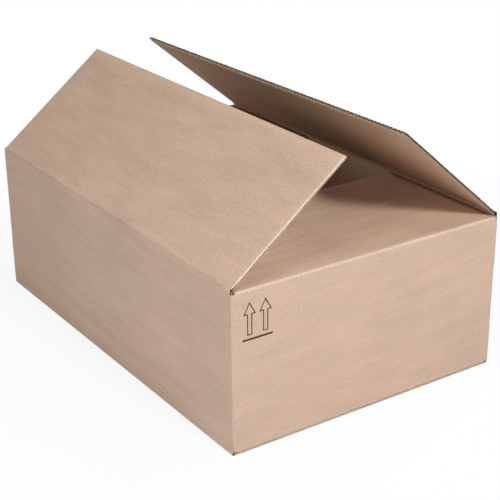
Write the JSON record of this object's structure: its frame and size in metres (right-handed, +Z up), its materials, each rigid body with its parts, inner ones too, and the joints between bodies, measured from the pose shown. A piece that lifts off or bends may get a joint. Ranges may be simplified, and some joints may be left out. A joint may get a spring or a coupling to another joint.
{
  "type": "cardboard box",
  "caption": "Set-up slotted shipping carton of corrugated board, with its short top flaps folded in and its long top flaps ajar.",
  "frame": {"origin": "middle of the underside, where the carton stands on its bottom flaps", "axes": "+X along the length towards the right short wall, +Y along the width towards the back long wall, +Z up"},
  "size_m": [0.608, 0.408, 0.3469],
  "materials": {
    "brown_board": "matt, uncoated brown paper liner",
    "fluting": "matt, rough fluted paper between the liners, seen at the cut edges"
  },
  "bodies": {
    "carton": {"carton": "brown_board"},
    "front_flap": {"front_flap": "brown_board"},
    "back_flap": {"back_flap": "brown_board"}
  },
  "joints": [
    {"name": "front_flap_fold", "type": "hinge", "parent": "carton", "child": "front_flap", "pos_m": [0, -0.204, 0.2163], "axis": [1, 0, 0], "range_deg": [-38.25, 228.75]},
    {"name": "back_flap_fold", "type": "hinge", "parent": "carton", "child": "back_flap", "pos_m": [0, 0.204, 0.2163], "axis": [-1, 0, 0], "range_deg": [-40, 227]}
  ]
}
